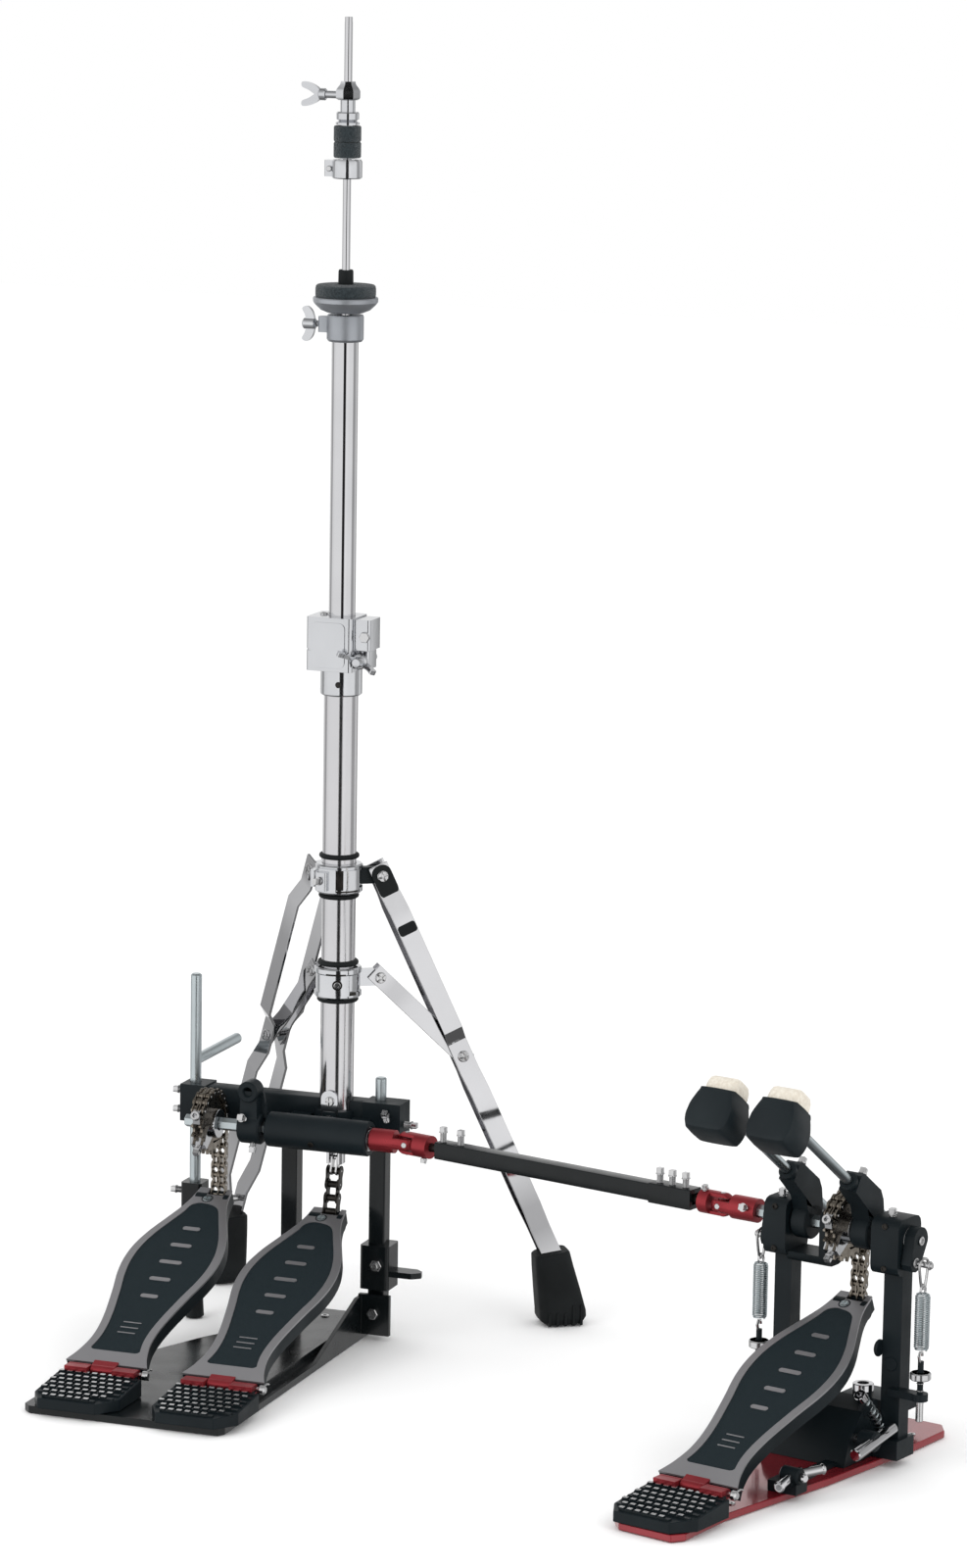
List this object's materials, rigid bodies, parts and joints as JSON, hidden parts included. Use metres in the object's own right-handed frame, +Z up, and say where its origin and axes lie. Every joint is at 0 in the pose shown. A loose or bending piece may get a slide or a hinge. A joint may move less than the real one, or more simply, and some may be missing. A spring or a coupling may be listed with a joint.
{
  "type": "double bass drum pedal",
  "caption": "Double bass drum pedal: slave and hi-hat footboards on one frame with a two-legged hi-hat stand, and a linkage to a main pedal with twin beaters.",
  "frame": {"origin": "on the floor under the axis of the hi-hat tube, on the underside of the left base plate", "axes": "+Z up, +Y away from the player, +X to the player's right"},
  "size_m": [0.7534, 0.5808, 1.111],
  "materials": {
    "black_steel": "gloss black paint",
    "black_cast": "satin black coating",
    "red_anodised": "satin red anodised",
    "chrome": "mirror",
    "zinc": "bright zinc",
    "satin_aluminium": "satin, with a black gritty inset",
    "grey_cast": "satin cast",
    "chain_steel": "nickel",
    "rubber": "matt",
    "dark_felt": "felt",
    "beater_body": "matt black with a cream felt face"
  },
  "bodies": {
    "left_frame": {"left_base_plate": "black_steel", "slave_heel_plate": "black_cast", "hihat_heel_plate": "black_cast", "cross_beam": "black_cast", "frame_post_inner": "black_steel", "frame_post_outer": "black_steel", "outrigger_rod": "zinc", "slave_bearing_housing": "black_cast", "lower_tube": "chrome", "height_clamp": "chrome"},
    "slave_board": {"slave_footboard": "satin_aluminium"},
    "slave_shaft": {"slave_hex_shaft": "zinc", "slave_sprocket": "chain_steel", "slave_hub": "black_cast", "slave_yoke_in": "red_anodised"},
    "slave_chain_run": {"slave_chain": "chain_steel"},
    "linkage": {"slave_yoke_out": "red_anodised", "linkage_tube": "black_steel"},
    "main_frame": {"main_base_plate": "red_anodised", "main_heel_plate": "black_cast", "main_post_left": "black_steel", "main_post_right": "black_steel", "hoop_clamp_casting": "black_cast", "left_spring": "zinc", "right_spring": "zinc"},
    "linkage_far": {"linkage_inner_bar": "black_steel", "main_yoke_out": "red_anodised"},
    "slave_beater_shaft": {"slave_beater_hub": "black_cast", "main_yoke_in": "red_anodised"},
    "slave_beater": {"slave_beater_rod": "zinc", "slave_beater_head": "beater_body"},
    "main_board": {"main_footboard": "satin_aluminium"},
    "main_shaft": {"main_hex_shaft": "zinc", "main_sprocket": "chain_steel", "main_beater_hub": "black_cast"},
    "main_chain_run": {"main_chain": "chain_steel"},
    "main_beater": {"main_beater_rod": "zinc", "main_beater_head": "beater_body"},
    "right_stirrup": {"right_spring_hook": "zinc"},
    "left_stirrup": {"left_spring_hook": "zinc"},
    "hoop_screw": {"hoop_clamp_screw": "chrome"},
    "hoop_jaw": {"hoop_clamp_jaw": "black_cast"},
    "hihat_board": {"hihat_footboard": "satin_aluminium"},
    "hihat_rod": {"pull_rod": "chrome"},
    "hihat_link": {"hihat_chain": "chain_steel"},
    "clutch": {"clutch_body": "chrome", "clutch_felt": "dark_felt"},
    "seat_tube": {"upper_tube": "chrome"},
    "seat": {"cymbal_seat": "grey_cast", "seat_felt": "dark_felt"},
    "clamp_wing": {"height_clamp_wing": "chrome"},
    "leg_ring": {"leg_swivel_ring": "rubber"},
    "lower_collar": {"lower_leg_collar": "chrome"},
    "upper_collar": {"upper_leg_collar": "chrome"},
    "right_leg_body": {"right_leg": "chrome", "right_leg_foot": "rubber"},
    "left_leg_body": {"left_leg": "chrome", "left_leg_foot": "rubber"},
    "right_brace_body": {"right_brace": "chrome"},
    "left_brace_body": {"left_brace": "chrome"}
  },
  "joints": [
    {"name": "slave_pedal", "type": "hinge", "parent": "left_frame", "child": "slave_board", "pos_m": [-0.104, -0.2475, 0.0223], "axis": [-1, 0, 0], "range_deg": [0, 5.5], "stiffness_Nm_per_rad": 26, "springref_deg": -3.44},
    {"name": "slave_shaft_turn", "type": "hinge", "parent": "left_frame", "child": "slave_shaft", "pos_m": [-0.061, -0.037, 0.1835], "axis": [-1, 0, 0], "range_deg": [0, 51]},
    {"name": "slave_chain_swing", "type": "hinge", "parent": "slave_shaft", "child": "slave_chain_run", "pos_m": [-0.1015, -0.011, 0.1835], "axis": [-1, 0, 0], "range_deg": [-66, 0]},
    {"name": "linkage_turn", "type": "hinge", "parent": "left_frame", "child": "linkage", "pos_m": [0.0786, -0.037, 0.1835], "axis": [-0.9602, 0.2794, 0], "range_deg": [0, 51]},
    {"name": "linkage_length", "type": "slide", "parent": "left_frame", "child": "main_frame", "axis": [0.9602, -0.2794, 0], "range_m": [-0.005, 0.08]},
    {"name": "linkage_far_turn", "type": "hinge", "parent": "main_frame", "child": "linkage_far", "pos_m": [0.38251, -0.12544, 0.1835], "axis": [-0.9602, 0.2794, 0], "range_deg": [0, 51]},
    {"name": "slave_beater_swing", "type": "hinge", "parent": "main_frame", "child": "slave_beater_shaft", "pos_m": [0.45815, -0.1457, 0.1835], "axis": [-0.9659, 0.2588, 0], "range_deg": [0, 51]},
    {"name": "slave_beater_height", "type": "slide", "parent": "slave_beater_shaft", "child": "slave_beater", "axis": [-0.2104, -0.7854, 0.5821], "range_m": [-0.007, 0.03]},
    {"name": "main_pedal", "type": "hinge", "parent": "main_frame", "child": "main_board", "pos_m": [0.43651, -0.35783, 0.0223], "axis": [-0.9659, 0.2588, 0], "range_deg": [0, 5.5], "stiffness_Nm_per_rad": 26, "springref_deg": -3.44},
    {"name": "main_shaft_turn", "type": "hinge", "parent": "main_frame", "child": "main_shaft", "pos_m": [0.51224, -0.1602, 0.1835], "axis": [-0.9659, 0.2588, 0], "range_deg": [0, 51]},
    {"name": "main_chain_swing", "type": "hinge", "parent": "main_shaft", "child": "main_chain_run", "pos_m": [0.49965, -0.12991, 0.1835], "axis": [-0.9659, 0.2588, 0], "range_deg": [-66, 0]},
    {"name": "main_beater_height", "type": "slide", "parent": "main_shaft", "child": "main_beater", "axis": [-0.2104, -0.7854, 0.5821], "range_m": [-0.007, 0.03]},
    {"name": "right_spring_pull", "type": "slide", "parent": "main_frame", "child": "right_stirrup", "axis": [-0.1767, -0.6595, 0.7306], "range_m": [0, 0.0154], "deforming": ["right_spring"]},
    {"name": "left_spring_pull", "type": "slide", "parent": "main_frame", "child": "left_stirrup", "axis": [-0.1767, -0.6595, 0.7306], "range_m": [0, 0.0154], "deforming": ["left_spring"]},
    {"name": "hoop_screw_turn", "type": "hinge", "parent": "main_frame", "child": "hoop_screw", "pos_m": [0.53582, -0.20741, 0.0275], "axis": [0.9659, -0.2588, 0], "range_deg": [0, 180]},
    {"name": "hoop_jaw_close", "type": "hinge", "parent": "main_frame", "child": "hoop_jaw", "pos_m": [0.49888, -0.12504, 0.025], "axis": [-0.9659, 0.2588, 0], "range_deg": [0, 5]},
    {"name": "hihat_pedal", "type": "hinge", "parent": "left_frame", "child": "hihat_board", "pos_m": [-0.001, -0.2475, 0.0223], "axis": [-1, 0, 0], "range_deg": [0, 5.5], "stiffness_Nm_per_rad": 26, "springref_deg": -5.73},
    {"name": "hihat_pull", "type": "slide", "parent": "left_frame", "child": "hihat_rod", "axis": [0, 0, -1], "range_m": [0, 0.0234]},
    {"name": "hihat_chain_swing", "type": "hinge", "parent": "hihat_rod", "child": "hihat_link", "pos_m": [0, 0, 0.155], "axis": [1, 0, 0], "range_deg": [0, 8.6]},
    {"name": "clutch_height", "type": "slide", "parent": "hihat_rod", "child": "clutch", "axis": [0, 0, 1], "range_m": [-0.02, 0.045]},
    {"name": "seat_height", "type": "slide", "parent": "left_frame", "child": "seat_tube", "axis": [0, 0, 1], "range_m": [-0.1, 0.03]},
    {"name": "seat_tilt", "type": "hinge", "parent": "seat_tube", "child": "seat", "pos_m": [0, 0, 0.866], "axis": [0, 1, 0], "range_deg": [-2.2, 2.2]},
    {"name": "clamp_wing_turn", "type": "hinge", "parent": "left_frame", "child": "clamp_wing", "pos_m": [0.023, 0, 0.583], "axis": [0, 1, 0], "range_deg": [-90, 90]},
    {"name": "leg_swivel", "type": "hinge", "parent": "left_frame", "child": "leg_ring", "pos_m": [0, 0, 0.293], "axis": [0, 0, 1], "range_deg": [-12, 12]},
    {"name": "leg_spread", "type": "slide", "parent": "leg_ring", "child": "lower_collar", "axis": [0, 0, 1], "range_m": [0, 0.024]},
    {"name": "upper_collar_follow", "type": "slide", "parent": "lower_collar", "child": "upper_collar", "axis": [0, 0, 1], "range_m": [-0.0074, 0]},
    {"name": "right_leg_fold", "type": "hinge", "parent": "upper_collar", "child": "right_leg_body", "pos_m": [0.02943, 0.01985, 0.3976], "axis": [-0.5592, 0.829, 0], "range_deg": [0, 6.1]},
    {"name": "right_brace_fold", "type": "hinge", "parent": "lower_collar", "child": "right_brace_body", "pos_m": [0.02943, 0.01985, 0.31], "axis": [-0.5592, 0.829, 0], "range_deg": [0, 12.6]},
    {"name": "left_leg_fold", "type": "hinge", "parent": "upper_collar", "child": "left_leg_body", "pos_m": [-0.02759, 0.02234, 0.3976], "axis": [-0.6293, -0.7771, 0], "range_deg": [0, 6.1]},
    {"name": "left_brace_fold", "type": "hinge", "parent": "lower_collar", "child": "left_brace_body", "pos_m": [-0.02759, 0.02234, 0.31], "axis": [-0.6293, -0.7771, 0], "range_deg": [0, 12.6]}
  ],
  "couplings": [
    {"joint": "slave_shaft_turn", "follows": "slave_pedal", "ratio": 9.25},
    {"joint": "slave_chain_swing", "follows": "slave_pedal", "ratio": -11.87},
    {"joint": "linkage_turn", "follows": "slave_pedal", "ratio": 9.25},
    {"joint": "linkage_far_turn", "follows": "slave_pedal", "ratio": 9.25},
    {"joint": "slave_beater_swing", "follows": "slave_pedal", "ratio": 9.25},
    {"joint": "left_spring_pull", "follows": "slave_pedal", "m_per_rad": 0.1587},
    {"joint": "main_shaft_turn", "follows": "main_pedal", "ratio": 9.25},
    {"joint": "main_chain_swing", "follows": "main_pedal", "ratio": -11.87},
    {"joint": "right_spring_pull", "follows": "main_pedal", "m_per_rad": 0.1587},
    {"joint": "hoop_jaw_close", "follows": "hoop_screw_turn", "ratio": 0.027778},
    {"joint": "hihat_pull", "follows": "hihat_pedal", "m_per_rad": 0.2422},
    {"joint": "hihat_chain_swing", "follows": "hihat_pedal", "ratio": 1.55},
    {"joint": "upper_collar_follow", "follows": "leg_spread", "ratio": -0.301},
    {"joint": "right_leg_fold", "follows": "leg_spread", "rad_per_m": 4.363},
    {"joint": "right_brace_fold", "follows": "leg_spread", "rad_per_m": 9.017},
    {"joint": "left_leg_fold", "follows": "leg_spread", "rad_per_m": 4.363},
    {"joint": "left_brace_fold", "follows": "leg_spread", "rad_per_m": 9.017}
  ]
}
